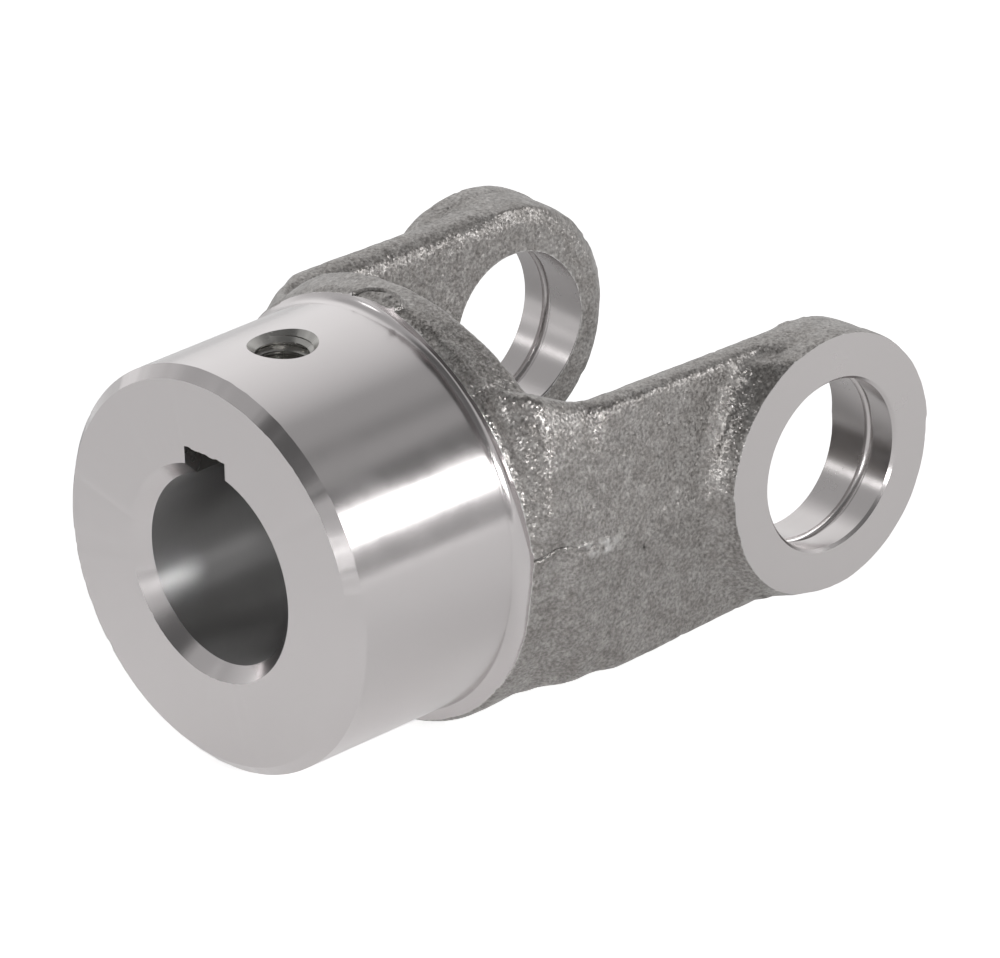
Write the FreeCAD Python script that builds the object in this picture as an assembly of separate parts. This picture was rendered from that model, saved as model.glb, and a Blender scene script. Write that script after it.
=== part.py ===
import FreeCAD, Part
import math
import os

# Forged yoke of a universal joint, one piece of steel: a hub turned and bored for a keyed
# shaft, a forged collar behind it, and two forged arms that carry the ears of the cross.
# Millimetres. Origin at the joint centre, where the hub axis meets the cross axis.
# +X runs along the hub axis from the hub towards the ears, +Y along the cross axis,
# +Z up through the set screw. The dies part on the plane z = 0.

# Turned hub
reach_length = 90.0             # hub face to the cross axis
hub_diameter = 64.0
turned_length = 33.0            # hub face to the shoulder of the forged collar
hub_chamfer = 1.8
shoulder_fillet = 2.0
hub_bore_diameter = 30.0
hub_bore_chamfer = 2.2
throat_chamfer = 1.0            # on the far end of the hub bore
key_width = 8.8
key_top = 19.5                  # top of the keyway above the hub axis

# Set screw
screw_from_face = 16.2
screw_core_diameter = 8.0
countersink_diameter = 11.0
countersink_depth = 1.7

# Forging
draft_angle = 6.0
collar_height = 2.9             # step from the turned hub up to the forged collar
collar_thickness = 9.4          # shoulder to the throat floor, on the parting plane
throat_floor_radius = 180.0
throat_corner_radius = 5.0
collar_chamfer = 0.9
collar_edge_radius = 1.0
flare_angle = 28.0              # the arms leave the collar as a cone about the hub axis
flare_blend_radius = 12.0
flare_from_shoulder = 2.0
arm_gap = 54.0                  # between the inner faces of the arms, on the parting plane
arm_thickness = 10.3            # on the parting plane
arm_root_depth = 45.0           # across one arm, top to bottom, at the throat floor
arm_inner_radius = 4.8          # rounded edges of the arm, each less where the arm is thin
arm_outer_radius = 2.4
arm_root_overlap = 0.5          # how far behind the shoulder the arm starts, inside the collar

# Ears
ear_diameter = 41.6
ear_thickness = 13.4            # inner face to machined face, on the parting plane
ear_edge_radius = 0.45          # from the ear's rim to the machined ring on its outer face
boss_blend_radius = 4.5
boss_blend_foot = 1.0           # how far the blend runs below the arm's outer face
boss_overlap = 0.1              # how far the blend reaches inside the ear's rim
boss_corner_radius = 7.0        # top and bottom corners of the blend
boss_corner_over = 1.5          # how far past the machined face those corners start
cross_bore_diameter = 27.0
cross_bore_chamfer = 0.45
ring_groove_inset = 5.3         # machined face to the middle of the snap ring groove
ring_groove_width = 1.9
ring_groove_depth = 0.9

# Worked out from the sizes above
face_x = -reach_length
shoulder_x = face_x + turned_length
hub_radius = hub_diameter / 2
collar_radius = hub_radius + collar_height
throat_x = shoulder_x + collar_thickness
ear_radius = ear_diameter / 2
arm_start_x = shoulder_x + arm_root_overlap
arm_inside = arm_gap / 2
arm_outside = arm_inside + arm_thickness
ear_face = arm_inside + ear_thickness
slope = math.tan(math.radians(draft_angle))
chamfer_x = shoulder_x + collar_chamfer
chamfer_r = collar_radius - collar_chamfer
clear = 5.0                     # how far a cutter runs past what it cuts
round_share = 0.97              # most of an arm's top that its two rounded edges may take
same_point = 1e-6
on_surface = 0.01


def edges_to_wire(edges):
    """Wire of the edges that have a length."""
    return Part.Wire(Part.__sortEdges__([edge for edge in edges if edge]))


def arc_edge(centre, radius, start, end, place):
    """Arc about a 2-D centre between two angles in degrees; place turns 2-D into 3-D."""
    def point(angle):
        turn = math.radians(angle)
        return place(centre[0] + radius * math.cos(turn), centre[1] + radius * math.sin(turn))
    return Part.Arc(point(start), point((start + end) / 2), point(end)).toShape()


def line_edge(start, end, place):
    """Straight edge, or nothing where its two ends meet."""
    if math.dist(start, end) < same_point:
        return None
    return Part.LineSegment(place(*start), place(*end)).toShape()


def about_hub_axis(x, radius):
    return FreeCAD.Vector(x, 0, radius)


def about_cross_axis(radius, y):
    return FreeCAD.Vector(radius, y, 0)


def turned(edges, axis):
    """Solid of revolution of a closed outline about an axis through the origin."""
    face = Part.Face(edges_to_wire(edges))
    return face.revolve(FreeCAD.Vector(0, 0, 0), axis, 360)


def outline(points, place):
    """Closed outline of straight lines."""
    ends = points[1:] + points[:1]
    return [line_edge(a, b, place) for a, b in zip(points, ends)]


def mirrored(shape):
    """The same shape on the other side of the plane y = 0."""
    return shape.mirror(FreeCAD.Vector(0, 0, 0), FreeCAD.Vector(0, 1, 0))


def hub_and_collar():
    """Turned hub with its front chamfer, shoulder fillet and the forged collar behind."""
    fillet_x = shoulder_x - shoulder_fillet
    fillet_r = hub_radius + shoulder_fillet
    collar_end = throat_x + 2 * throat_corner_radius
    edge_x = face_x + hub_chamfer
    edge_r = hub_radius - hub_chamfer
    edges = [
        line_edge((face_x, 0), (face_x, edge_r), about_hub_axis),
        line_edge((face_x, edge_r), (edge_x, hub_radius), about_hub_axis),
        line_edge((edge_x, hub_radius), (fillet_x, hub_radius), about_hub_axis),
        arc_edge((fillet_x, fillet_r), shoulder_fillet, -90, 0, about_hub_axis),
        line_edge((shoulder_x, fillet_r), (shoulder_x, chamfer_r), about_hub_axis),
        line_edge((shoulder_x, chamfer_r), (chamfer_x, collar_radius), about_hub_axis),
        line_edge((chamfer_x, collar_radius), (collar_end, collar_radius), about_hub_axis),
        line_edge((collar_end, collar_radius), (collar_end, 0), about_hub_axis),
        line_edge((collar_end, 0), (face_x, 0), about_hub_axis),
    ]
    return turned(edges, FreeCAD.Vector(1, 0, 0))


def throat_plan(height):
    """Plan of the space between the arms at a height from the parting plane."""
    floor_x = throat_x - height * slope
    half = arm_inside + height * slope
    inner = half - throat_corner_radius
    swing = throat_floor_radius - throat_corner_radius
    centre_x = floor_x + throat_floor_radius
    corner_x = centre_x - math.sqrt(swing ** 2 - inner ** 2)
    lean = math.degrees(math.asin(inner / swing))
    open_x = ear_radius + clear

    def place(x, y):
        return FreeCAD.Vector(x, y, height)
    return edges_to_wire([
        line_edge((open_x, half), (corner_x, half), place),
        arc_edge((corner_x, inner), throat_corner_radius, 90, 180 - lean, place),
        arc_edge((centre_x, 0), throat_floor_radius, 180 - lean, 180 + lean, place),
        arc_edge((corner_x, -inner), throat_corner_radius, 180 + lean, 270, place),
        line_edge((corner_x, -half), (open_x, -half), place),
        line_edge((open_x, -half), (open_x, half), place),
    ])


def throat():
    """Space between the arms, drafted both ways from the parting plane."""
    height = collar_radius + clear
    upper = Part.makeLoft([throat_plan(0), throat_plan(height)], True, True)
    lower = upper.mirror(FreeCAD.Vector(0, 0, 0), FreeCAD.Vector(0, 0, 1))
    return upper.fuse(lower)


def rounded_collar_edge(body):
    """The collar's edge over the throat is rounded, top and bottom."""
    edges = []
    for edge in body.Edges:
        box = edge.BoundBox
        on_skin = all(abs(math.hypot(v.Y, v.Z) - collar_radius) < on_surface for v in edge.Vertexes)
        over_throat = box.XMax > (chamfer_x + throat_x) / 2
        between_arms = abs(edge.CenterOfMass.y) < arm_inside - throat_corner_radius
        if on_skin and over_throat and between_arms and box.YLength > throat_corner_radius:
            edges.append(edge)
    return body.makeFillet(collar_edge_radius, edges)


def above_parting(shape):
    """What a shape has above the parting plane."""
    box = shape.BoundBox
    corner = FreeCAD.Vector(box.XMin - clear, box.YMin - clear, 0)
    keep = Part.makeBox(box.XLength + 2 * clear, box.YLength + 2 * clear, box.ZMax + clear, corner)
    return shape.common(keep)


def edge_share(half_depth):
    """Share of their full radii that the arm's two rounded edges have room for."""
    room = arm_thickness - 2 * half_depth * slope
    return min(1, round_share * room / (arm_inner_radius + arm_outer_radius))


def arm_section(x, half_depth, outer, outer_radius):
    """Section across the upper half of an arm, drafted outside and rounded at its outer edge."""
    turn = math.radians(draft_angle)
    z_centre = half_depth - outer_radius
    y_centre = outer - z_centre * slope - outer_radius / math.cos(turn)
    tangent_y = y_centre + outer_radius * math.cos(turn)
    tangent_z = z_centre + outer_radius * math.sin(turn)
    inner = arm_inside - clear

    def place(y, z):
        return FreeCAD.Vector(x, y, z)
    return Part.Wire([
        line_edge((inner, 0), (outer, 0), place),
        line_edge((outer, 0), (tangent_y, tangent_z), place),
        arc_edge((y_centre, z_centre), outer_radius, draft_angle, 90, place),
        line_edge((y_centre, half_depth), (inner, half_depth), place),
        line_edge((inner, half_depth), (inner, 0), place),
    ])


def strap(outer, outer_radius):
    """Upper half of an arm's straight run, from inside the collar to where it meets the ear."""
    reach = math.hypot(throat_x, arm_root_depth / 2)
    lean = math.atan2(arm_root_depth / 2, -throat_x) - math.asin(ear_radius / reach)
    end_x = -ear_radius * math.sin(lean)
    end_depth = ear_radius * math.cos(lean)
    start_depth = end_depth + (end_x - arm_start_x) * math.tan(lean)
    root = arm_section(arm_start_x, start_depth, outer, outer_radius)
    end = arm_section(end_x, end_depth, outer, outer_radius)
    return Part.makeLoft([root, end], True, True)


def ear():
    """Upper half of the round end of an arm, up to the machined ring on its outer face."""
    ring_radius = ear_radius - ear_edge_radius
    rim_y = ear_face - ear_edge_radius
    inner = arm_inside - clear
    edges = [
        line_edge((0, inner), (ear_radius, inner), about_cross_axis),
        line_edge((ear_radius, inner), (ear_radius, rim_y), about_cross_axis),
        arc_edge((ring_radius, rim_y), ear_edge_radius, 0, 90, about_cross_axis),
        line_edge((ring_radius, ear_face), (0, ear_face), about_cross_axis),
        line_edge((0, ear_face), (0, inner), about_cross_axis),
    ]
    return above_parting(turned(edges, FreeCAD.Vector(0, 1, 0)))


def throat_side():
    """Everything inside the drafted inner face of the +Y arm, above the parting plane."""
    height = ear_radius + arm_root_depth
    start = arm_start_x - clear
    corners = [
        FreeCAD.Vector(start, 0, -clear),
        FreeCAD.Vector(start, arm_inside - clear * slope, -clear),
        FreeCAD.Vector(start, arm_inside + height * slope, height),
        FreeCAD.Vector(start, 0, height),
    ]
    face = Part.Face(Part.makePolygon(corners + corners[:1]))
    return face.extrude(FreeCAD.Vector(ear_radius + clear - start, 0, 0))


def rounded_inner_edge(body):
    """The arm's inner edge, along its top and round the ear, is rounded."""
    edges = []
    for edge in body.Edges:
        box = edge.BoundBox
        on_face = all(abs(v.Y - arm_inside - v.Z * slope) < on_surface for v in edge.Vertexes)
        if on_face and box.ZMax > on_surface and box.XMax > arm_start_x + on_surface:
            edges.append(edge)
    return body.makeFillet(arm_inner_radius * edge_share(arm_root_depth / 2), edges)


def boss_blend():
    """Hollow fillet round the ear, where the arm's outer face rises to the machined ring."""
    foot = arm_outside - ear_radius * slope - boss_blend_foot
    base = foot - clear
    top = foot + boss_blend_radius
    rim = ear_radius - boss_overlap
    spread = rim + boss_blend_radius
    edges = [
        line_edge((0, base), (spread, base), about_cross_axis),
        line_edge((spread, base), (spread, foot), about_cross_axis),
        arc_edge((spread, top), boss_blend_radius, -90, -180, about_cross_axis),
        line_edge((rim, top), (0, top), about_cross_axis),
        line_edge((0, top), (0, base), about_cross_axis),
    ]
    limit = strap(ear_face + boss_corner_over, boss_corner_radius)
    return turned(edges, FreeCAD.Vector(0, 1, 0)).common(limit)


def flare():
    """Round envelope that the arms leave the collar by: a cylinder opening to a cone."""
    turn = math.radians(flare_angle)
    start = shoulder_x + flare_from_shoulder
    run = flare_blend_radius * math.sin(turn)
    rise = flare_blend_radius * (1 - math.cos(turn))
    end_x = ear_radius + clear
    cone_x = start + run
    cone_r = collar_radius + rise
    end_r = cone_r + (end_x - cone_x) * math.tan(turn)
    edges = [
        line_edge((shoulder_x, 0), (shoulder_x, chamfer_r), about_hub_axis),
        line_edge((shoulder_x, chamfer_r), (chamfer_x, collar_radius), about_hub_axis),
        line_edge((chamfer_x, collar_radius), (start, collar_radius), about_hub_axis),
        arc_edge((start, collar_radius + flare_blend_radius), flare_blend_radius,
                 -90, -90 + flare_angle, about_hub_axis),
        line_edge((cone_x, cone_r), (end_x, end_r), about_hub_axis),
        line_edge((end_x, end_r), (end_x, 0), about_hub_axis),
        line_edge((end_x, 0), (shoulder_x, 0), about_hub_axis),
    ]
    return turned(edges, FreeCAD.Vector(1, 0, 0))


def arm():
    """One forged arm with its ear, on the +Y side."""
    outer_radius = arm_outer_radius * edge_share(arm_root_depth / 2)
    body = strap(arm_outside, outer_radius).fuse([ear(), boss_blend()]).cut(throat_side())
    upper = rounded_inner_edge(body.removeSplitter())
    lower = upper.mirror(FreeCAD.Vector(0, 0, 0), FreeCAD.Vector(0, 0, 1))
    return upper.fuse(lower).common(flare())


def hub_bore():
    """Shaft bore with a chamfer at the face and a small one at the throat."""
    radius = hub_bore_diameter / 2
    mouth = radius + hub_bore_chamfer
    exit_r = radius + throat_chamfer
    points = [
        (face_x - clear, 0), (face_x - clear, mouth), (face_x, mouth),
        (face_x + hub_bore_chamfer, radius), (throat_x - throat_chamfer, radius),
        (throat_x, exit_r), (throat_x + clear, exit_r), (throat_x + clear, 0),
    ]
    return turned(outline(points, about_hub_axis), FreeCAD.Vector(1, 0, 0))


def keyway():
    """Broached slot along the top of the shaft bore."""
    length = throat_x - face_x + 2 * clear
    corner = FreeCAD.Vector(face_x - clear, -key_width / 2, 0)
    return Part.makeBox(length, key_width, key_top, corner)


def screw_hole():
    """Set screw hole from the hub's skin down into the keyway, with its countersink."""
    x = face_x + screw_from_face
    core = screw_core_diameter / 2
    mouth = countersink_diameter / 2
    up = FreeCAD.Vector(0, 0, 1)
    floor = hub_radius - countersink_depth
    hole = Part.makeCylinder(core, hub_radius + clear, FreeCAD.Vector(x, 0, 0), up)
    cone = Part.makeCone(core, mouth, countersink_depth, FreeCAD.Vector(x, 0, floor), up)
    above = Part.makeCylinder(mouth, clear, FreeCAD.Vector(x, 0, hub_radius), up)
    return hole.fuse([cone, above])


def cross_bore():
    """Bore for one bearing cup, with the snap ring groove part way in."""
    radius = cross_bore_diameter / 2
    groove_y = ear_face - ring_groove_inset
    edge_y = ear_face - cross_bore_chamfer
    end_y = ear_face + clear
    half = ring_groove_width / 2
    bulge = (half ** 2 + ring_groove_depth ** 2) / (2 * ring_groove_depth)
    centre_r = radius + ring_groove_depth - bulge
    swing = math.degrees(math.asin(half / bulge))
    start = arm_inside - clear
    mouth = radius + cross_bore_chamfer
    edges = [
        line_edge((0, start), (radius, start), about_cross_axis),
        line_edge((radius, start), (radius, groove_y - half), about_cross_axis),
        arc_edge((centre_r, groove_y), bulge, -swing, swing, about_cross_axis),
        line_edge((radius, groove_y + half), (radius, edge_y), about_cross_axis),
        line_edge((radius, edge_y), (mouth, ear_face), about_cross_axis),
        line_edge((mouth, ear_face), (mouth, end_y), about_cross_axis),
        line_edge((mouth, end_y), (0, end_y), about_cross_axis),
        line_edge((0, end_y), (0, start), about_cross_axis),
    ]
    return turned(edges, FreeCAD.Vector(0, 1, 0))


def yoke():
    """The forging, with everything that is machined into it."""
    hub = rounded_collar_edge(hub_and_collar().cut(throat()))
    right_arm = arm()
    right_bore = cross_bore()
    forging = hub.fuse([right_arm, mirrored(right_arm)])
    cuts = [hub_bore(), keyway(), screw_hole(), right_bore, mirrored(right_bore)]
    return forging.cut(cuts).removeSplitter()


os.makedirs("parts", exist_ok=True)
part = yoke()
part.exportStep("parts/yoke.step")
print("solids", len(part.Solids), "valid", part.isValid(), "volume cm3", round(part.Volume / 1000, 2))
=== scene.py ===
import math

import bmesh
import bpy
from mathutils import Matrix, Vector, noise


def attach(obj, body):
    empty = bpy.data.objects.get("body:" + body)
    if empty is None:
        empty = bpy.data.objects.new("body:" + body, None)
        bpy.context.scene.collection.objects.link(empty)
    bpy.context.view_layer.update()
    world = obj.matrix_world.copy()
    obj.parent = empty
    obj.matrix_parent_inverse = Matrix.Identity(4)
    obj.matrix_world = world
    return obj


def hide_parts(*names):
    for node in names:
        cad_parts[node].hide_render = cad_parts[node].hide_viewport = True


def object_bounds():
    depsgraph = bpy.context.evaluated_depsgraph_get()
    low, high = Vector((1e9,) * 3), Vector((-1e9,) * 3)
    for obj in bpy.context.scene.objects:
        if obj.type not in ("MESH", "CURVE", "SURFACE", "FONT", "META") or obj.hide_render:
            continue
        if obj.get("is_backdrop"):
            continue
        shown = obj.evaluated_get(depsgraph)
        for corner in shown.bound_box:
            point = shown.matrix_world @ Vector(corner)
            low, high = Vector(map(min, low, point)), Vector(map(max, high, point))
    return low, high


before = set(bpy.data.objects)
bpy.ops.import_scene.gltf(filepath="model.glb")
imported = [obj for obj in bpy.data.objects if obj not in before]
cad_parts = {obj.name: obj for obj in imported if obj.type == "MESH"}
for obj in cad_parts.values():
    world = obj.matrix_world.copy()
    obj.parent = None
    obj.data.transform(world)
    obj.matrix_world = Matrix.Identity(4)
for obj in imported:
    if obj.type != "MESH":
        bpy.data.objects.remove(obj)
cad_low, cad_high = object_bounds()
MM = 0.001

# Camera: a long lens a little above the yoke, looking at the hub face and the near arm.
# Its place and turn are those that the round edges of the photo give.
camera_data = bpy.data.cameras.new("camera")
camera_data.lens = 317.0
camera_data.sensor_width = 36.0
camera_data.sensor_fit = "HORIZONTAL"
camera_data.clip_start = 0.05
camera_data.clip_end = 30.0
camera = bpy.data.objects.new("camera", camera_data)
bpy.context.scene.collection.objects.link(camera)
camera_place = Vector((-0.858886, -0.876547, 0.565318))
camera_right = Vector((0.71952, -0.69413, -0.02191)).normalized()
camera_up = Vector((0.31114, 0.29400, 0.90374)).normalized()
camera_back = camera_right.cross(camera_up)
camera.matrix_world = Matrix((
    (camera_right.x, camera_up.x, camera_back.x, camera_place.x),
    (camera_right.y, camera_up.y, camera_back.y, camera_place.y),
    (camera_right.z, camera_up.z, camera_back.z, camera_place.z),
    (0, 0, 0, 1),
))
bpy.context.scene.camera = camera


# Forging: one piece of steel as it leaves the dies, with stock on the hub and the ears and no
# holes. It is shot blasted, which leaves a grey, grainy skin with bright flecks. It starts from
# a copy of the solid's mesh, and the sections after it machine it as the real one is machined.
def new_material(name):
    material = bpy.data.materials.new(name)
    material.use_nodes = True
    nodes = material.node_tree.nodes
    return material, nodes, material.node_tree.links, nodes["Principled BSDF"]


def fill(links, sockets, values):
    """Each value is another node's output to link, or a number, a vector or a colour to set."""
    for socket, value in zip(sockets, values):
        if isinstance(value, bpy.types.NodeSocket):
            links.new(value, socket)
        elif socket.type != "RGBA":
            socket.default_value = value
        else:
            colour = value if isinstance(value, tuple) else (value, value, value)
            socket.default_value = (*colour, 1)


def number_step(nodes, links, operation, *values):
    step = nodes.new("ShaderNodeMath")
    step.operation = operation
    fill(links, step.inputs, values)
    return step.outputs["Value"]


def vector_step(nodes, links, operation, *values):
    step = nodes.new("ShaderNodeVectorMath")
    step.operation = operation
    fill(links, step.inputs, values)
    return step.outputs["Value" if operation in ("LENGTH", "DISTANCE") else "Vector"]


def mix_colours(nodes, links, share, first, second, way="MIX"):
    mixer = nodes.new("ShaderNodeMixRGB")
    mixer.blend_type = way
    fill(links, mixer.inputs, (share, first, second))
    return mixer.outputs["Color"]


def add_ramp(nodes, links, source, stops):
    """Greys or colours that follow a source, from (source, colour) stops."""
    ramp = nodes.new("ShaderNodeValToRGB")
    while len(ramp.color_ramp.elements) < len(stops):
        ramp.color_ramp.elements.new(0.5)
    for element, (place, value) in zip(ramp.color_ramp.elements, stops):
        element.position = place
        element.color = (*value, 1) if isinstance(value, tuple) else (value, value, value, 1)
    links.new(source, ramp.inputs["Fac"])
    return ramp.outputs["Color"]


def add_noise(nodes, links, coords, scale, detail, roughness=0.6):
    texture = nodes.new("ShaderNodeTexNoise")
    texture.inputs["Scale"].default_value = scale
    texture.inputs["Detail"].default_value = detail
    texture.inputs["Roughness"].default_value = roughness
    links.new(coords, texture.inputs["Vector"])
    return texture.outputs["Fac"]


def add_bump(nodes, links, height, strength, distance, below=None):
    bump = nodes.new("ShaderNodeBump")
    bump.inputs["Strength"].default_value = strength
    bump.inputs["Distance"].default_value = distance
    links.new(height, bump.inputs["Height"])
    if below:
        links.new(below, bump.inputs["Normal"])
    return bump.outputs["Normal"]


def add_attribute(nodes, name):
    attribute = nodes.new("ShaderNodeAttribute")
    attribute.attribute_name = name
    return attribute.outputs["Fac"]


def forged_skin():
    """Shot-blasted steel, with painted shade in its cracks and a painted highlight on the bare
    steel rubbed along the machined edges.
    """
    material, nodes, links, shader = new_material("forged_skin")
    shader.inputs["Metallic"].default_value = 0.9
    coords = nodes.new("ShaderNodeTexCoord").outputs["Object"]
    grain = add_noise(nodes, links, coords, 1900, 3)
    patches = add_noise(nodes, links, coords, 380, 4, 0.65)
    steel = add_ramp(nodes, links, grain, [
        (0.32, (0.235, 0.223, 0.215)), (0.5, (0.36, 0.345, 0.334)), (0.68, (0.5, 0.48, 0.465)),
    ])
    tint = add_ramp(nodes, links, patches, [(0.38, (0.78, 0.77, 0.76)), (0.62, (1.0, 1.0, 1.0))])
    steel = mix_colours(nodes, links, 1.0, steel, tint, "MULTIPLY")
    # Painted shade: the cracks, the nick and the scar's lines go near black.
    crack_shade = add_attribute(nodes, "crack_shade")
    steel = mix_colours(nodes, links, crack_shade, steel, (0.03, 0.028, 0.026))
    bare_and_highlight = number_step(nodes, links, "POWER", add_attribute(nodes, "worn_and_highlight"), 2.0)
    # Painted highlight: the rubbed edges and the rubbed patch are bare steel, painted brighter than
    # the machined steel.
    steel = mix_colours(nodes, links, bare_and_highlight, steel, (0.7, 0.69, 0.68))
    links.new(steel, shader.inputs["Base Color"])

    facets = nodes.new("ShaderNodeTexVoronoi")
    facets.inputs["Scale"].default_value = 3300
    links.new(coords, facets.inputs["Vector"])
    facet = facets.outputs["Color"]
    rough = add_ramp(nodes, links, facet, [(0.3, 0.29), (0.55, 0.4)])
    links.new(rough, shader.inputs["Roughness"])
    tilt = vector_step(nodes, links, "SUBTRACT", facet, (0.5, 0.5, 0.5))
    normal = nodes.new("ShaderNodeNewGeometry").outputs["Normal"]
    tilted = vector_step(nodes, links, "MULTIPLY_ADD", tilt, (0.44, 0.44, 0.44), normal)
    tilted = vector_step(nodes, links, "NORMALIZE", tilted)
    links.new(add_bump(nodes, links, grain, 0.5, 0.11 * MM, tilted), shader.inputs["Normal"])
    return material


finishes = [forged_skin()]
SKIN = 0


def new_piece(name, shape):
    mesh = bpy.data.meshes.new(name)
    shape.to_mesh(mesh)
    shape.free()
    for finish in finishes:
        mesh.materials.append(finish)
    piece = bpy.data.objects.new(name, mesh)
    bpy.context.scene.collection.objects.link(piece)
    return piece


def apply_modifiers(piece):
    graph = bpy.context.evaluated_depsgraph_get()
    mesh = bpy.data.meshes.new_from_object(piece.evaluated_get(graph))
    piece.modifiers.clear()
    piece.data = mesh


def finish_cutter(shape, finish):
    bmesh.ops.recalc_face_normals(shape, faces=shape.faces)
    for face in shape.faces:
        face.material_index = finish
    return shape


def spin_cutter(outline, axis, finish, segments=256):
    """Plug or ring from an outline of (along, radius) pairs in mm, turned about an axis."""
    shape = bmesh.new()
    verts = []
    for place, radius in outline:
        corner = (place, 0, radius) if axis == "X" else (radius, place, 0)
        verts.append(shape.verts.new(Vector(corner) * MM))
    edges = [shape.edges.new(pair) for pair in zip(verts, verts[1:])]
    if outline[0][1] > 0:
        edges.append(shape.edges.new((verts[-1], verts[0])))
    line = (1, 0, 0) if axis == "X" else (0, 1, 0)
    bmesh.ops.spin(
        shape, geom=verts + edges, cent=(0, 0, 0), axis=line, angle=2 * math.pi,
        steps=segments, use_merge=True, use_duplicate=False,
    )
    bmesh.ops.remove_doubles(shape, verts=shape.verts, dist=0.0005 * MM)
    return finish_cutter(shape, finish)


def arc_points(along, radius, size, start, end, steps=8):
    turns = [math.radians(start + (end - start) * i / steps) for i in range(steps + 1)]
    return [(along + size * math.cos(t), radius + size * math.sin(t)) for t in turns]


def machine(shape, name):
    """Cuts a shape out of the forging, which gets the cutter's finish there."""
    cutter = new_piece(name, shape)
    cut = forging.modifiers.new(name, "BOOLEAN")
    cut.operation = "DIFFERENCE"
    cut.solver = "MANIFOLD"
    cut.object = cutter
    apply_modifiers(forging)
    bpy.data.objects.remove(cutter)


blank = bmesh.new()
blank.from_mesh(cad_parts["yoke"].data)
bmesh.ops.remove_doubles(blank, verts=blank.verts, dist=0.002 * MM)
forging = new_piece("yoke_forging", blank)

# The ears' ends are rounder on their inner side than their tops are.
EAR_RADIUS = 20.8
EAR_INNER = 27
EAR_END = 5.8
for side in (-1, 1):
    arc = arc_points(EAR_INNER + EAR_END, EAR_RADIUS - EAR_END, EAR_END, 180, 90)
    outline = [*arc, (33.5, 26), (24, 26), (24, EAR_RADIUS - EAR_END)]
    ring = spin_cutter([(side * y, r) for y, r in outline], "Y", SKIN, 128)
    bmesh.ops.bisect_plane(
        ring, geom=ring.verts[:] + ring.edges[:] + ring.faces[:], plane_co=(0, 0, 0),
        plane_no=(1, 0, 0), clear_inner=True,
    )
    bmesh.ops.holes_fill(ring, edges=[edge for edge in ring.edges if edge.is_boundary], sides=0)
    machine(finish_cutter(ring, SKIN), "ear_end")


# The roots of the arms flare out and blend into the edge of the collar. Their sections lie
# across the hub axis, and none reaches past the cone that the die gave the collar's edge.
SHOULDER = -57
ARM_OUTER = 37.25
ARM_TOP = 22.0
ARM_EDGE = 11
ARM_DRAFT = 0.105
INNER_WALL = 27.2
THROAT_FLOOR = -41.3
THROAT_FILLET = 5


def eased(value, low, high):
    share = min(1, max(0, (value - low) / (high - low)))
    return share * share * (3 - 2 * share)


def between(value, points):
    """Straight lines through (place, height) points."""
    for (low, first), (high, second) in zip(points, points[1:]):
        if value <= high:
            share = max(0, (value - low) / (high - low))
            return first + (second - first) * share
    return points[-1][1]


def edge_shift(place):
    """How far the edge of the turning wanders along the hub from the shoulder."""
    turn = math.degrees(math.atan2(place.z, abs(place.y)))
    turn = 180 - turn if place.y < 0 else turn
    shift = between(turn, [(0, 0), (60, 0.3), (78, 0.3), (88, 0), (102, -0.3), (116, -0.9),
                           (133, -0.8), (149, -0.5), (163, -0.1), (175, 0.4), (185, 0.1)])
    return shift + 0.12 * noise.noise(place / 2.5)


def collar_limit(place):
    """How far from the hub axis the forging may reach beside the turning."""
    start = SHOULDER - 0.2 + (edge_shift(place) if place.z > 3 else 0)
    turn = math.degrees(math.atan2(place.z, place.y))
    top = 0.5 * (1 - eased(turn, 82, 98)) if turn > 0 else 0
    return 33.9 + top + 1.3 * max(-0.2, place.x - start)


def root_limit(place):
    """How far from the hub axis the roots of the arms may reach."""
    cone = collar_limit(place)
    if place.y < 0 < place.z:
        return cone
    swell = between(place.x, [(-56, 34.9), (-52, 35.9), (-49.5, 37.4), (-44, 40.4), (-40, 42.5)])
    return min(cone, swell - (0.8 if place.y > 0 < place.z else 0))


def root_outline(x, side, up):
    """Half a section through the root of an arm, as (distance from the hub axis, height)."""
    top = ARM_TOP + 3.3 * (max(0, -38 - x) / 13) ** 1.7
    if x > -40:
        top -= 0.12 * (x + 40)
    low = top - ARM_EDGE
    outline = [(ARM_OUTER - ARM_DRAFT * z, z) for z in (0, low / 2, low)]
    for step in range(1, 8):
        turn = math.radians(90 * step / 7)
        z = low + ARM_EDGE * math.sin(turn)
        outline.append((30.6 + (6.65 - ARM_DRAFT * z) * math.cos(turn) ** 0.9, z))
    for z in (top - 0.4, top - 1.6, top - 4, top / 2, 0):
        depth = THROAT_FLOOR - 0.09 * z - x
        wall = INNER_WALL + ARM_DRAFT * z
        if depth > 0:
            reach = min(depth, THROAT_FILLET)
            wall -= THROAT_FILLET - math.sqrt(THROAT_FILLET ** 2 - reach ** 2)
        outline.append((wall + max(0, 2.2 - 1.1 * (top - z)), z))
    section = []
    for y, z in outline:
        limit = root_limit(Vector((x, side * y, up * z)))
        share = min(1, limit / math.hypot(y, z))
        section.append((y * share, z * share))
    return section


def add_root(shape, side, up):
    """A quarter of the two roots, joined from section to section and closed at its ends."""
    rings = []
    for x in (-56.6, -55.8, -55, -54, -53, -52, -51, -50, -49, -47.5, -46, -44, -42, -40, -37, -34):
        rings.append([shape.verts.new(Vector((x, side * y, up * z)) * MM)
                      for y, z in root_outline(x, side, up)])
    faces = [shape.faces.new(rings[0]), shape.faces.new(rings[-1])]
    count = len(rings[0])
    for first, second in zip(rings, rings[1:]):
        for i in range(count):
            j = (i + 1) % count
            faces.append(shape.faces.new((first[i], first[j], second[j], second[i])))
    bmesh.ops.recalc_face_normals(shape, faces=faces)


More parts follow.
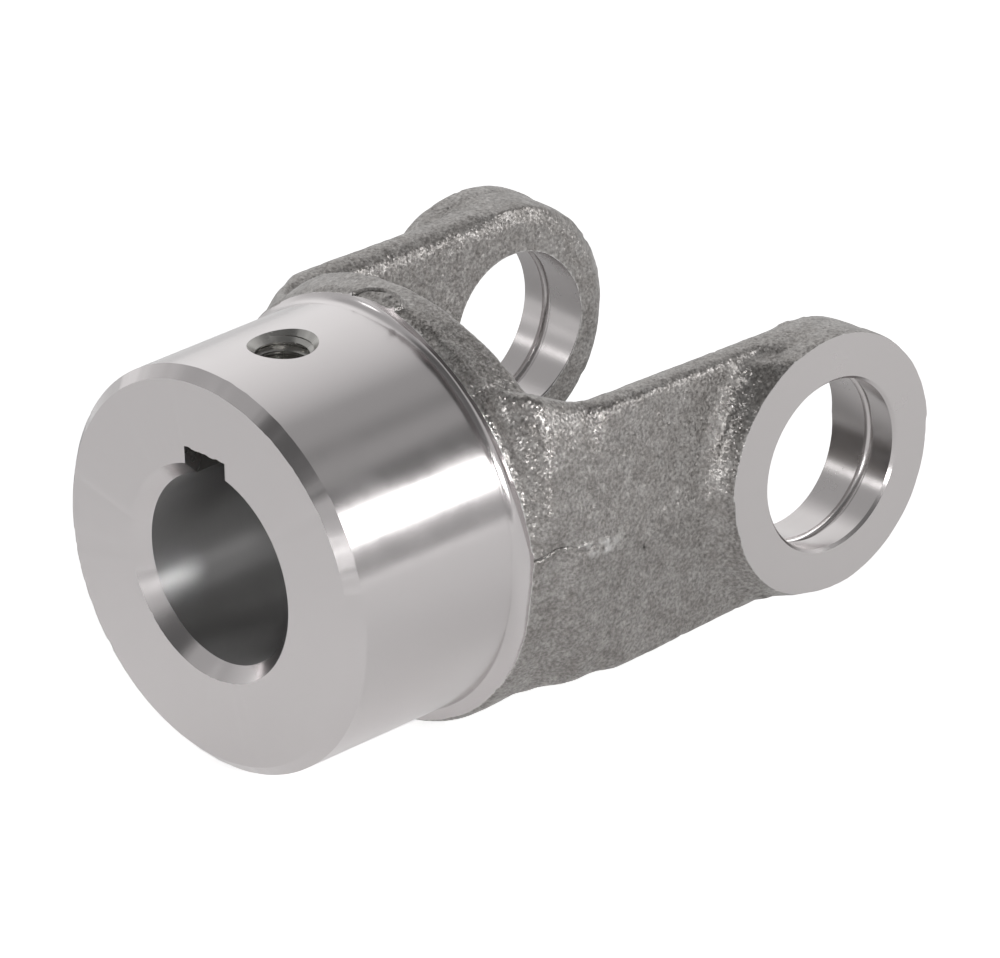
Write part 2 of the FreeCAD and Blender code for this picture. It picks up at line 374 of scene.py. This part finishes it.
def add_rod(shape, axis, start, end, radius):
    middle = (start + end) / 2 * MM
    if axis == "X":
        place = Matrix.Translation((middle, 0, 0)) @ Matrix.Rotation(math.pi / 2, 4, "Y")
    else:
        place = Matrix.Translation((0, middle, 0)) @ Matrix.Rotation(-math.pi / 2, 4, "X")
    bmesh.ops.create_cone(
        shape, cap_ends=True, segments=96, radius1=radius * MM, radius2=radius * MM,
        depth=(end - start) * MM, matrix=place,
    )


def add_block(shape, low, high):
    middle = [(a + b) / 2 * MM for a, b in zip(low, high)]
    size = [(b - a) * MM for a, b in zip(low, high)]
    bmesh.ops.create_cube(shape, size=1, matrix=Matrix.LocRotScale(middle, None, size))


def add_shape(shape, other):
    mesh = bpy.data.meshes.new("joined")
    other.to_mesh(mesh)
    other.free()
    shape.from_mesh(mesh)
    bpy.data.meshes.remove(mesh)


def follow_draft(shape, side, reach):
    """Leans what lies nearest the hub axis as the drafted inner face of an ear leans."""
    for vert in shape.verts:
        if abs(vert.co.y) < reach * MM:
            vert.co.y += side * abs(vert.co.z) * math.tan(math.radians(6))


# Stock on the hub and the ears, plugs in their holes, and the hollow fillet that carries the
# arm's outer face up to the ear's ring. It gives way where the arm's top and end are too near.
HUB_STOCK = 34.2
BORE_PLUG = 16.4
CUP_PLUG = 14.8
RING_STOCK = 20.55
RING_TOP = 41.4
RING_EDGE = 20.6
FILLET_SIZE = 4.4
FILLET_FOOT = 25.2
blank = bmesh.new()
blank.from_mesh(forging.data)
add_rod(blank, "X", -91, -56, HUB_STOCK)
add_rod(blank, "X", -57, -50.2, BORE_PLUG)
keyway_plug = ((-58, -4.8, 12), (-50.4, 4.8, 19.8))
add_block(blank, *keyway_plug)
for side in (-1, 1):
    for up in (-1, 1):
        add_root(blank, side, up)
    start, end = sorted((side * 30, side * RING_TOP))
    add_rod(blank, "Y", start, end, RING_STOCK)
    plug = [(27.02, 0), (27.02, CUP_PLUG), (36, CUP_PLUG), (36, 0)]
    plug = spin_cutter([(side * y, r) for y, r in plug], "Y", SKIN)
    follow_draft(plug, side, 28)
    hollow = [(33.5, 19), (40.6, 19), *arc_points(41.7, FILLET_FOOT, FILLET_SIZE, 252, 180),
              (33.5, FILLET_FOOT)]
    hollow = spin_cutter([(side * y, r) for y, r in hollow], "Y", SKIN)
    for vert in hollow.verts:
        place = vert.co / MM
        radius = math.hypot(place.x, place.z)
        if radius > 20.5:
            reach = min(radius, max(RING_EDGE, 19.7 / max(0.1, abs(place.z) / radius)))
            if place.x > -2:
                reach = RING_EDGE
            foot = (radius - 21) / 4.2
            vert.co = Vector((
                place.x * reach / radius, place.y - side * ARM_DRAFT * abs(place.z) * foot,
                place.z * reach / radius,
            )) * MM
    add_shape(blank, plug)
    add_shape(blank, hollow)
blank.to_mesh(forging.data)
blank.free()
remesh = forging.modifiers.new("grain", "REMESH")
remesh.mode = "VOXEL"
remesh.voxel_size = 0.5 * MM
smooth = forging.modifiers.new("die_radii", "SMOOTH")
smooth.factor = 0.5
smooth.iterations = 6
apply_modifiers(forging)

# Marks of the forging: a crack and a nick on the near arm's parting line, a rubbed patch beside the
# crack, an eye-shaped scar on top of the collar, and waves and pits all over. The crack, the nick
# and the dark lines of the scar also get painted shade, and the rubbed patch a painted highlight.
PARTING_LINE = [(-57.2, 1.4), (-56, 1.9), (-54.9, 2.5), (-53.7, 3.1), (-51.1, 2.9), (-48, 1.9),
                (-42, 1.4), (-36, 0.8), (-25, 0.8), (-15, 1.5)]
NICK_X = -36.4
NICK_Z = -2.2
SCAR_X = -56.3
SCAR_TURN = 92.5
SCAR_HALF_LENGTH = 5.5
SCAR_HALF_WIDTH = 1.9


def bell(value, width):
    return math.exp(-(value / width) ** 2)


def parting_offset(place):
    """How far a point on an arm stands above the wandering line where the dies met."""
    line = between(place.x, PARTING_LINE)
    return place.z - line - 0.3 * noise.noise(Vector((place.x / 2.2, 0, place.y)))


def parting_share(place):
    """Where the parting line shows: clear at the root of an arm, then here and there."""
    if abs(place.y) < 30 or not -57.5 < place.x < -17:
        return 0
    broken = eased(noise.noise(Vector((place.x / 3.0, 4, place.y / 40))), -0.1, 0.35)
    return max(0.3 * broken, 1 - eased(place.x, -54, -47))


def scar_place(place):
    """Across and along the scar, as shares of its half width and length; its rim lies at 1."""
    turn = math.degrees(math.atan2(place.z, place.y)) - SCAR_TURN
    along = math.radians(turn) * 34.9 / SCAR_HALF_LENGTH
    across = (place.x - SCAR_X - 1.1 * min(0, along)) / SCAR_HALF_WIDTH
    return abs(across) + abs(along) ** (2 if along < 0 else 3.5), across, along


def near_scar(place):
    return abs(place.x + 56.5) < 3 and abs(place.y + 2) < 7.5 and place.z > 31


def crack_depth_and_shade(place):
    """How deep a crack, a nick or a line of the scar is sunk, and how dark the painted shade in it
    is.
    """
    dark = 0.95 * bell(parting_offset(place), 0.11) * parting_share(place)
    if place.y < -30:
        slant = 0.3 * (place.z - NICK_Z)
        dark = max(dark, bell(place.x - NICK_X + slant, 0.22) * bell(place.z - NICK_Z, 0.6))
    if near_scar(place):
        rim, across, along = scar_place(place)
        if across > 0:
            ends = 1 - eased(abs(along + 0.45), 0.4, 0.65)
            dark = max(dark, 0.85 * bell(rim - 0.8, 0.08) * ends)
        dark = max(dark, 0.8 * bell(along - 0.4, 0.06) * bell(across - 0.45, 0.2))
    return dark


def rubbed_and_highlight_share(place):
    """The bumpy patch beside the crack, where the near arm has been rubbed bare and is painted
    bright as a painted highlight.
    """
    if place.y > -30:
        return 0
    offset = parting_offset(place)
    band = eased(offset, -2.6, -1.0) * (1 - eased(offset, 0.1, 1.1))
    return band * bell(place.x + 45.5, 4.8) * eased(noise.noise(place / 1.1), -0.4, 0.2)


def skin_height(place):
    """How far the skin stands out from the smooth die form."""
    waves = 0.14 * noise.noise(place / 9) + 0.06 * noise.noise(place / 3.1 + Vector((7, 0, 0)))
    fine = 0.035 * noise.noise(place / 1.3 + Vector((0, 9, 0)))
    pits = 0.15 * eased(noise.noise(place / 2.3 + Vector((0, 0, 5))), 0.35, 0.7)
    height = waves + fine - pits - 0.08 - 0.2 * crack_depth_and_shade(place)
    height += rubbed_and_highlight_share(place) * (0.2 + 0.2 * noise.noise(place / 0.8))
    height += 0.16 * bell(parting_offset(place) + 0.55, 0.4) * parting_share(place)
    on_ear_rim = abs(place.y) > 37.5 and place.x > -24
    if on_ear_rim:
        die_step = 0.35 * (eased(place.z, 0.4, 1.5) - 0.5)
        height += die_step
    if near_scar(place):
        rim, across, along = scar_place(place)
        height += (0.35 + 0.35 * eased(along, -0.2, 0.6)) * bell(rim - 1, 0.12)
    return height


marked = bmesh.new()
marked.from_mesh(forging.data)
fine_edges = []
for edge in marked.edges:
    place = (edge.verts[0].co + edge.verts[1].co) / (2 * MM)
    on_line = place.x < -45 and abs(parting_offset(place)) < 0.7 and parting_share(place) > 0.05
    nicked = place.y < -30 and abs(place.x - NICK_X) < 1 and abs(place.z - NICK_Z) < 1.2
    if on_line or nicked or near_scar(place):
        fine_edges.append(edge)
bmesh.ops.subdivide_edges(marked, edges=fine_edges, cuts=3, use_grid_fill=True)

# The collar's edge keeps to its cone, and its top lies lower on the far side.
FAR_TOP = Vector((0, 0.545, 0.838))
FAR_DROP = 1.2
marked.normal_update()
for vert in marked.verts:
    place = vert.co / MM
    outward = Vector((0, place.y, place.z))
    if place.x < -48 and outward.length > 31:
        radius = outward.length
        outward.normalize()
        low = eased(outward.dot(FAR_TOP), 0.72, 0.99) * (1 - eased(place.x, -57, -49))
        low *= eased(place.x, -58, -57)
        if place.x < -55:
            radius = min(radius, collar_limit(place))
        vert.co = Vector((place.x, 0, 0)) * MM + outward * (radius - FAR_DROP * low) * MM

# The corners between the roots and the collar are eased, most at their middles.
for reach in (6, 9, 12):
    root_verts = []
    for vert in marked.verts:
        place = vert.co / MM
        spot = Vector((place.x + 46, abs(place.y) - 30.5, abs(place.z) - 22))
        if spot.length < reach and place.x > -53.5:
            root_verts.append(vert)
    for turn in range(5):
        bmesh.ops.smooth_vert(marked, verts=root_verts, factor=0.5,
                              use_axis_x=True, use_axis_y=True, use_axis_z=True)
marked.normal_update()
moves = [vert.normal * skin_height(vert.co / MM) * eased(vert.co.x / MM, -58.4, -57.0)
         for vert in marked.verts]
for vert, move in zip(marked.verts, moves):
    moved = vert.co / MM + move
    moved.x = min(moved.x, cad_high.x / MM)
    moved.z = min(max(moved.z, cad_low.z / MM), cad_high.z / MM)
    vert.co = moved * MM
marked.to_mesh(forging.data)
marked.free()


# Turned hub: bright bare steel with fine rings. A lathe cuts its face, its broken front edge,
# its outside and the small fillet where the tool stops at the shoulder.
def machined(name, axis, colour, roughness, stretch, mark_scale, mark_depth):
    """Bare steel with tool marks that run round an axis, which draw its highlights out."""
    material, nodes, links, shader = new_material(name)
    shader.inputs["Metallic"].default_value = 1.0
    shader.inputs["Base Color"].default_value = (*colour, 1)
    shader.inputs["Anisotropic"].default_value = stretch
    shader.inputs["Anisotropic Rotation"].default_value = 0.25
    coords = nodes.new("ShaderNodeTexCoord").outputs["Object"]
    split = nodes.new("ShaderNodeSeparateXYZ")
    links.new(coords, split.inputs["Vector"])
    flat = nodes.new("ShaderNodeCombineXYZ")
    fill(links, flat.inputs, [split.outputs[other] for other in "XYZ" if other != axis])
    radius = vector_step(nodes, links, "LENGTH", flat.outputs["Vector"])
    around = vector_step(nodes, links, "NORMALIZE", flat.outputs["Vector"])
    ring = vector_step(nodes, links, "MULTIPLY", around, (0.7 * MM, 0.7 * MM, 0.7 * MM))
    track = nodes.new("ShaderNodeCombineXYZ")
    links.new(number_step(nodes, links, "ADD", split.outputs[axis], radius), track.inputs["Z"])
    path = vector_step(nodes, links, "ADD", ring, track.outputs["Vector"])
    marks = add_noise(nodes, links, path, mark_scale, 3)
    links.new(add_bump(nodes, links, marks, 1.0, mark_depth), shader.inputs["Normal"])
    stains = add_noise(nodes, links, coords, 120, 4)
    rough = add_ramp(nodes, links, stains, [(0.3, roughness - 0.04), (0.7, roughness + 0.05)])
    links.new(rough, shader.inputs["Roughness"])
    axis_way = [float(axis == other) for other in "XYZ"]
    tangent = vector_step(nodes, links, "CROSS_PRODUCT", axis_way, coords)
    links.new(tangent, shader.inputs["Tangent"])
    return material


def add_finish(finish):
    """Gives the forging one more finish and returns its slot."""
    finishes.append(finish)
    forging.data.materials.append(finish)
    return len(finishes) - 1


TURNED = add_finish(machined(
    "turned_steel", "X", (0.625, 0.597, 0.597), 0.17, 0.6, 3500, 0.0012 * MM))
FACE = -90
HUB_RADIUS = 32
EDGE_BREAK = 1.8
FILLET = 2
turning = spin_cutter([
    (FACE, 0), (FACE, HUB_RADIUS - EDGE_BREAK), (FACE + EDGE_BREAK, HUB_RADIUS),
    *arc_points(SHOULDER - FILLET, HUB_RADIUS + FILLET, FILLET, -90, 0),
    (SHOULDER, 44), (FACE - 8, 44), (FACE - 8, 0),
], "X", TURNED)
for vert in turning.verts:
    place = vert.co / MM
    radius = math.hypot(place.y, place.z)
    if place.x > -60 and radius > HUB_RADIUS - 0.1:
        tight = 1 - 0.25 * eased(place.z, 0, 5) * eased(-place.y, 2, 12)
        shift = edge_shift(place) * eased(radius, 32.7, 33.8)
        if radius < HUB_RADIUS + FILLET + 0.1:
            place = Vector((SHOULDER + (place.x - SHOULDER) * tight, place.y, place.z))
            share = (HUB_RADIUS + (radius - HUB_RADIUS) * tight) / radius
            place.y *= share
            place.z *= share
        place.x += shift
        vert.co = place * MM
    elif radius > 30 and place.x < -88:
        nick = 0.3 * max(0, noise.noise(place / 1.7) - 0.1) + 0.05 * noise.noise(place / 0.6)
        vert.co.x += max(0, nick) * MM
machine(finish_cutter(turning, TURNED), "turning")

# Hub bore: bored and honed along its length, which leaves it darker than the hub. Its chamfer
# at the face is turned with the face.
BORED = add_finish(machined(
    "bored_steel", "X", (0.34, 0.335, 0.335), 0.5, 0.95, 2600, 0.008 * MM))
BORE_RADIUS = 15
CHAMFER = 2.2
BEFORE_FACE = 2.8
boring = spin_cutter([
    (FACE - BEFORE_FACE, 0), (FACE - BEFORE_FACE, BORE_RADIUS + CHAMFER + BEFORE_FACE),
    (FACE + CHAMFER, BORE_RADIUS), (-40, BORE_RADIUS), (-40, 0),
], "X", BORED)
for face in boring.faces:
    if face.calc_center_median().x < -88 * MM:
        face.material_index = TURNED
machine(boring, "boring")

# Ears: each has a faced ring, a bore for a bearing cup with its snap ring groove and chamfer,
# and a broken inner edge that follows the draft of the inner face.
FACED = add_finish(machined("faced_steel", "Y", (0.60, 0.573, 0.57), 0.24, 0.5, 3500, 0.002 * MM))
RING_FACE = 40.4
CUP_RADIUS = 13.5
GROOVE_PLACE = 35.1
GROOVE_DEPTH = 0.9
GROOVE_RADIUS = 0.951
groove = arc_points(GROOVE_PLACE, CUP_RADIUS + GROOVE_DEPTH - GROOVE_RADIUS, GROOVE_RADIUS,
                    176.9, 3.1)
ear_cuts = (
    ("facing", [(RING_FACE, 0), (RING_FACE, 30), (48, 30), (48, 0)]),
    ("cross_bore", [(15, 0), (15, CUP_RADIUS), *groove, (39.95, CUP_RADIUS), (41.5, 15.05),
                    (41.5, 0)]),
    ("edge_break", [(27.3, 13.45), (25.7, 14.6), (25.7, 12.5), (27.3, 12.5)]),
)
for side in (-1, 1):
    for name, outline in ear_cuts:
        ear_cut = spin_cutter([(side * y, r) for y, r in outline], "Y", FACED)
        if name == "edge_break":
            follow_draft(ear_cut, side, 30)
        machine(ear_cut, name)

# Keyway: a slot along the top of the hub bore, broached right through, with a torn roof.
CUT = add_finish(machined("cut_steel", "Z", (0.50, 0.49, 0.47), 0.26, 0.3, 2500, 0.004 * MM))
KEYWAY_TOP = 19.5
KEYWAY_WIDTH = 8.8
BROACHED_LENGTH = 54
keyway = bmesh.new()
bmesh.ops.create_grid(
    keyway, x_segments=90, y_segments=16, size=0.5, matrix=Matrix.LocRotScale(
        Vector((-70, 0, KEYWAY_TOP)) * MM, None, (BROACHED_LENGTH * MM, KEYWAY_WIDTH * MM, 1)),
)
roof = [vert for vert in keyway.verts]
base = bmesh.ops.extrude_face_region(keyway, geom=keyway.faces)
for item in base["geom"]:
    if isinstance(item, bmesh.types.BMVert):
        item.co.z = 2 * MM
for vert in roof:
    place = vert.co / MM
    vert.co.z += (0.3 * noise.noise(place / 1.1) + 0.15 * noise.noise(place / 0.5) - 0.15) * MM
machine(finish_cutter(keyway, CUT), "keyway")

# Set screw hole: tapped from the hub's skin into the keyway, then countersunk. Its thread is
# one long helix, cut by a rib that climbs a pitch in each turn.
HOLE_X = -73.8
PITCH = 1.5875
TURNS = 15
TURN_STEPS = 48
CREST = 3.98
ROOT = 4.72
thread = bmesh.new()
rib = [(0, CREST), (0.2, CREST), (0.74, ROOT), (0.9, ROOT), (PITCH, CREST)]
verts = [thread.verts.new(Vector((HOLE_X + r, 0, 11 + z)) * MM) for z, r in rib]
edges = [thread.edges.new(pair) for pair in zip(verts, verts[1:])]
bmesh.ops.spin(
    thread, geom=verts + edges, cent=Vector((HOLE_X, 0, 0)) * MM, axis=(0, 0, 1),
    dvec=Vector((0, 0, PITCH / TURN_STEPS)) * MM, angle=2 * math.pi * TURNS,
    steps=TURN_STEPS * TURNS, use_merge=False, use_duplicate=False,
)
bmesh.ops.remove_doubles(thread, verts=thread.verts, dist=0.004 * MM)
bmesh.ops.holes_fill(thread, edges=[edge for edge in thread.edges if edge.is_boundary], sides=0)
machine(finish_cutter(thread, CUT), "thread")

SINK_RADIUS = 5.5
SINK_DEPTH = 1.7
SINK_SLOPE = 1.5 / 1.7
TOOL_LENGTH = 5
countersink = bmesh.new()
bmesh.ops.create_cone(
    countersink, cap_ends=True, segments=96, radius1=(SINK_RADIUS - SINK_SLOPE * SINK_DEPTH) * MM,
    radius2=(SINK_RADIUS + SINK_SLOPE * (TOOL_LENGTH - SINK_DEPTH)) * MM, depth=TOOL_LENGTH * MM,
    matrix=Matrix.Translation(Vector((HOLE_X, 0, HUB_RADIUS - SINK_DEPTH + TOOL_LENGTH / 2)) * MM),
)
machine(finish_cutter(countersink, CUT), "countersink")

# Finished yoke: its machined edges are sharp, and its skin is rubbed bare where it meets them,
# painted brighter than bare steel as a painted highlight; its cracks get painted shade. It stands
# for the solid and rides with it.
shape = bmesh.new()
shape.from_mesh(forging.data)
for face in shape.faces:
    face.smooth = True
for edge in shape.edges:
    finishes_met = {face.material_index for face in edge.link_faces}
    if len(edge.link_faces) == 2:
        sharp_turn = edge.calc_face_angle(0) > math.radians(30) and finishes_met != {SKIN}
        edge.smooth = not (sharp_turn or len(finishes_met) > 1)
shape.to_mesh(forging.data)
# Painted shade for the cracks, the nick and the scar's lines.
crack_shade = forging.data.attributes.new("crack_shade", "FLOAT", "POINT")
for item, vert in zip(crack_shade.data, shape.verts):
    item.value = crack_depth_and_shade(vert.co / MM)
# Bare steel with a painted highlight where the skin meets the machined faces and on the rubbed
# patch.
worn_and_highlight = forging.data.attributes.new("worn_and_highlight", "FLOAT", "POINT")
for item, vert in zip(worn_and_highlight.data, shape.verts):
    met = {face.material_index for face in vert.link_faces}
    item.value = float(SKIN in met and (TURNED in met or FACED in met))
    if met == {SKIN}:
        item.value = rubbed_and_highlight_share(vert.co / MM)
shape.free()
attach(forging, "root")
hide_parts("yoke")

# Floor: matt white paper that keeps the yoke's shadow. The camera sees it lifted to the photo's
# white, and the steel sees a painted glow in it all round, but for a painted shadow beside the far
# arm where the glow is left out.
def graded(nodes, links, source, low, high, top=1.0):
    """From 0 at the low end of a source up to the top value at its high end."""
    scaled = nodes.new("ShaderNodeMapRange")
    scaled.inputs["From Min"].default_value = low
    scaled.inputs["From Max"].default_value = high
    scaled.inputs["To Max"].default_value = top
    links.new(source, scaled.inputs["Value"])
    return scaled.outputs["Result"]


floor_shape = bmesh.new()
bmesh.ops.create_grid(floor_shape, x_segments=1, y_segments=1, size=12)
floor_mesh = bpy.data.meshes.new("floor")
floor_shape.to_mesh(floor_mesh)
floor_shape.free()
floor_mesh.transform(Matrix.Translation((0, 0, cad_low.z)))
floor = bpy.data.objects.new("floor", floor_mesh)
bpy.context.scene.collection.objects.link(floor)
paper, nodes, links, shader = new_material("paper")
shader.inputs["Base Color"].default_value = (0.8, 0.8, 0.8, 1)
shader.inputs["Roughness"].default_value = 1.0
shader.inputs["Specular IOR Level"].default_value = 0.0
shader.inputs["Emission Color"].default_value = (1, 1, 1, 1)
seen = nodes.new("ShaderNodeLightPath")
lift = number_step(nodes, links, "MULTIPLY", seen.outputs["Is Camera Ray"], 0.68)
coords = nodes.new("ShaderNodeTexCoord").outputs["Object"]
from_shadow_spot = vector_step(nodes, links, "DISTANCE", coords, (0.0, 0.08, cad_low.z))
# Painted reflection: glossy rays see the floor glow, except near the spot beside the far arm, which
# is a painted shadow.
glow = graded(nodes, links, from_shadow_spot, 0.07, 0.10, 0.28)
strength = number_step(nodes, links, "MULTIPLY_ADD", seen.outputs["Is Glossy Ray"], glow, lift)
links.new(strength, shader.inputs["Emission Strength"])
floor_mesh.materials.append(paper)
floor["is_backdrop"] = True

# Studio: a bright room to the back and left, and a ceiling that darkens towards the camera's
# right. A low soft box draws the bright strip along the hub, two small boxes light the blends
# of the forging, and a narrow lamp shines into the front of the hub bore.
world = bpy.data.worlds.new("studio")
world.use_nodes = True
bpy.context.scene.world = world
nodes, links = world.node_tree.nodes, world.node_tree.links
look = nodes.new("ShaderNodeSeparateXYZ")
links.new(nodes.new("ShaderNodeTexCoord").outputs["Generated"], look.inputs["Vector"])
across = graded(nodes, links, look.outputs["Y"], -1, 1)
ceiling = add_ramp(nodes, links, across, [
    (0.0, 0.26), (0.22, 0.20), (0.26, 0.42), (0.3, 0.42), (0.345, 0.29), (0.41, 0.42),
    (0.49, 0.42), (0.55, 0.60), (0.61, 0.74), (0.69, 0.88), (0.9, 1.15),
])
behind = add_ramp(nodes, links, across, [(0.0, 0.2), (0.5, 0.13), (0.56, 0.15), (0.63, 0.5),
                                         (0.9, 0.5)])
walls = add_ramp(nodes, links, across, [(0.0, 0.7), (0.45, 0.75), (0.75, 1.0), (1.0, 1.15)])
low_walls = mix_colours(nodes, links, across, 0.4, 1.0)
past_back = graded(nodes, links, look.outputs["X"], -0.1, 0.25)
ceiling = mix_colours(nodes, links, past_back, behind, ceiling)
past_side = graded(nodes, links, look.outputs["X"], -0.3, 0.3)
walls = mix_colours(nodes, links, past_side, 0.6, walls)
past_foot = graded(nodes, links, look.outputs["Z"], 0.1, 0.2)
walls = mix_colours(nodes, links, past_foot, low_walls, walls)
past_wall = graded(nodes, links, look.outputs["Z"], 0.44, 0.53)
room = mix_colours(nodes, links, past_wall, walls, ceiling)
seen = nodes.new("ShaderNodeLightPath").outputs["Is Camera Ray"]
room = mix_colours(nodes, links, seen, room, 1.0)
links.new(room, nodes["Background"].inputs["Color"])

MIDDLE = Vector((-0.07, -0.02, 0.0))
BORE_FRONT = Vector((-0.088, 0.012, -0.006))
for name, aim, way, distance, width, tall, level, beam in (
    ("soft_box", MIDDLE, Vector((0.62, -0.70, 0.35)), 1.25, 1.0, 0.3, 3.2, 180),
    ("front_box", MIDDLE, Vector((-0.62, -0.75, 0.23)), 1.7, 0.35, 0.3, 11.5, 180),
    ("back_box", MIDDLE, Vector((-0.61, 0.65, 0.46)), 1.6, 0.22, 0.22, 3.0, 180),
    ("bore_lamp", BORE_FRONT, Vector((-0.25, -0.85, 0.36)), 0.6, 0.1, 0.1, 0.54, 14),
):
    way.normalize()
    lamp_data = bpy.data.lights.new(name, "AREA")
    lamp_data.shape = "RECTANGLE"
    lamp_data.size = width
    lamp_data.size_y = tall
    lamp_data.energy = level * math.pi * width * tall
    lamp_data.spread = math.radians(beam)
    lamp = bpy.data.objects.new(name, lamp_data)
    bpy.context.scene.collection.objects.link(lamp)
    lamp.location = aim + way * distance
    lamp.rotation_euler = (-way).to_track_quat("-Z", "Y").to_euler()
    lamp.visible_camera = False
bpy.context.scene.view_settings.view_transform = "Standard"

low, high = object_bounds()
